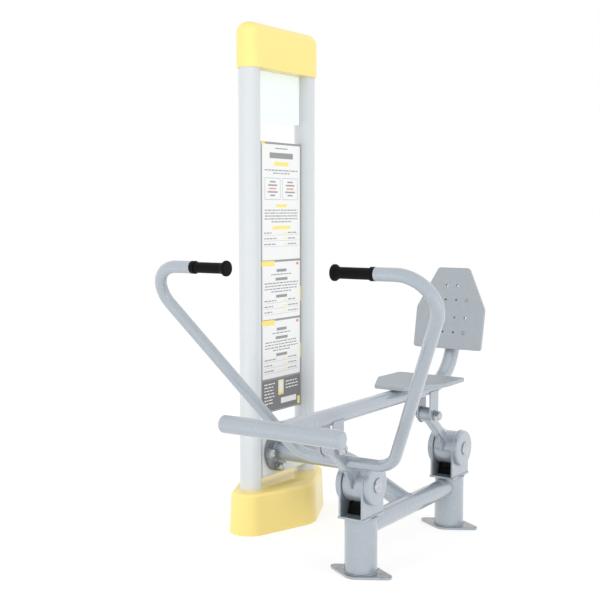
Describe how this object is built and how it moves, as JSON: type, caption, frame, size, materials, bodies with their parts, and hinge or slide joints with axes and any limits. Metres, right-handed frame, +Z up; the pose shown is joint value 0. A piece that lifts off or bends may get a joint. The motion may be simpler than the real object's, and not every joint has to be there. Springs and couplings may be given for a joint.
{
  "type": "outdoor rowing machine",
  "caption": "Outdoor rowing trainer: pylon with information board, side beam, and a seat carriage on swinging rockers lifted by a looped handlebar.",
  "frame": {"origin": "on the ground under the middle of the pylon, on the underside of its foot plate", "axes": "+Z up; +X from the pylon out to the rowing unit; the rider faces -Y"},
  "size_m": [1.3747, 1.3589, 2.06],
  "materials": {
    "unit_paint": "light blue-grey powder coat, satin",
    "pylon_paint": "pale grey powder coat, satin",
    "yellow_paint": "pale yellow moulded cover, satin",
    "header_paint": "bluish white coated sheet, bare",
    "board_print": null,
    "speckled_panel": "greenish grey compact laminate, finely speckled, matte",
    "black_rubber": "black moulded rubber, matte",
    "grey_plastic": "grey moulded plastic, satin",
    "nylon": "natural nylon bush",
    "zinc_steel": "zinc-plated steel",
    "chrome": "polished stainless dome nut"
  },
  "bodies": {
    "stand": {"beam": "unit_paint", "lower_tube": "unit_paint", "front_post": "unit_paint", "rear_post": "unit_paint", "front_foot_plate": "unit_paint", "rear_foot_plate": "unit_paint", "front_yoke": "unit_paint", "rear_yoke": "unit_paint", "pylon_post_front": "pylon_paint", "pylon_post_rear": "pylon_paint", "mount_plate_left": "pylon_paint", "mount_plate_right": "pylon_paint", "base_cover": "yellow_paint", "pylon_cap": "yellow_paint", "header_panel": "header_paint", "info_board": "board_print", "front_stop": "black_rubber", "rear_stop": "black_rubber", "front_disc_left": "grey_plastic", "front_disc_right": "grey_plastic", "rear_disc_left": "grey_plastic", "rear_disc_right": "grey_plastic", "pylon_foot_plate": "zinc_steel", "beam_flange": "zinc_steel", "front_axle": "zinc_steel", "rear_axle": "zinc_steel", "flange_bolt_1": "chrome", "flange_bolt_2": "chrome", "flange_bolt_3": "chrome", "flange_bolt_4": "chrome", "front_axle_nut": "chrome", "rear_axle_nut": "chrome"},
    "front_swing": {"front_rocker": "unit_paint", "handlebar": "unit_paint", "grip_left": "black_rubber", "grip_right": "black_rubber", "front_hub_bush": "nylon", "front_pin_bush": "nylon"},
    "rear_swing": {"rear_rocker": "unit_paint", "rear_hub_bush": "nylon", "rear_pin_bush": "nylon"},
    "carriage": {"seat_beam": "unit_paint", "foot_bar": "unit_paint", "foot_cap_left": "grey_plastic", "foot_cap_right": "grey_plastic", "front_ear_left": "unit_paint", "front_ear_right": "unit_paint", "rear_ear_left": "unit_paint", "rear_ear_right": "unit_paint", "front_pin": "zinc_steel", "rear_pin": "zinc_steel", "front_pin_nut": "chrome", "rear_pin_nut": "chrome", "seat": "speckled_panel", "seat_plate": "unit_paint", "backrest": "speckled_panel", "back_channel_upper": "unit_paint", "back_channel_lower": "unit_paint", "back_tube_cap": "grey_plastic"}
  },
  "joints": [
    {"name": "front_rocker_hinge", "type": "hinge", "parent": "stand", "child": "front_swing", "pos_m": [0.659, -0.426, 0.333], "axis": [-1, 0, 0], "range_deg": [0, 45]},
    {"name": "rear_rocker_hinge", "type": "hinge", "parent": "stand", "child": "rear_swing", "pos_m": [0.659, 0.298, 0.333], "axis": [-1, 0, 0], "range_deg": [0, 45]},
    {"name": "carriage_hinge", "type": "hinge", "parent": "front_swing", "child": "carriage", "pos_m": [0.659, -0.63029, 0.50021], "axis": [-1, 0, 0], "range_deg": [-45, 0]}
  ],
  "couplings": [
    {"joint": "rear_rocker_hinge", "follows": "front_rocker_hinge", "ratio": 1},
    {"joint": "carriage_hinge", "follows": "front_rocker_hinge", "ratio": -1}
  ]
}
